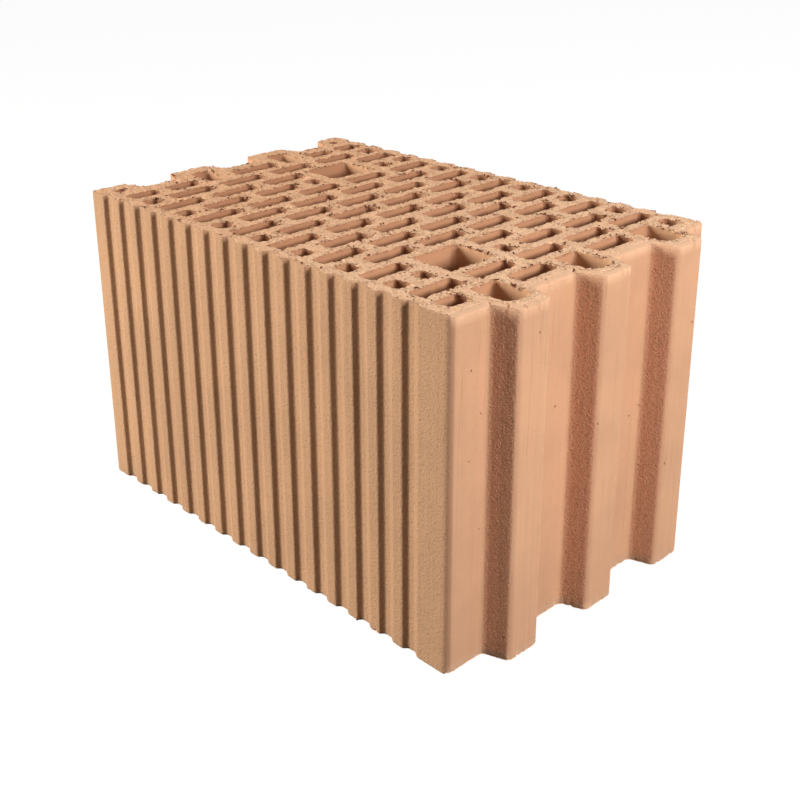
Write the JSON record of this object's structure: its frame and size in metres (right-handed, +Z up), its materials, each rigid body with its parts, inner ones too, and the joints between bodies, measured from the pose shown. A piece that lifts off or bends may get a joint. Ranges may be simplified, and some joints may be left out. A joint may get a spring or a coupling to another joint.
{
  "type": "hollow clay block",
  "caption": "Vertically perforated clay masonry block with staggered slot chambers, grip holes, a tongue-and-recess butt joint and grooved plaster faces.",
  "frame": {"origin": "centre of the bounding box, on the lower bed face", "axes": "+X out of the tongue end, along the laying direction; -Y out of the grooved face that the picture shows; +Z up, along the chambers"},
  "size_m": [0.3906, 0.25, 0.238],
  "materials": {
    "fired_clay": "matte"
  },
  "bodies": {
    "root": {"clay_block": "fired_clay"}
  },
  "joints": []
}
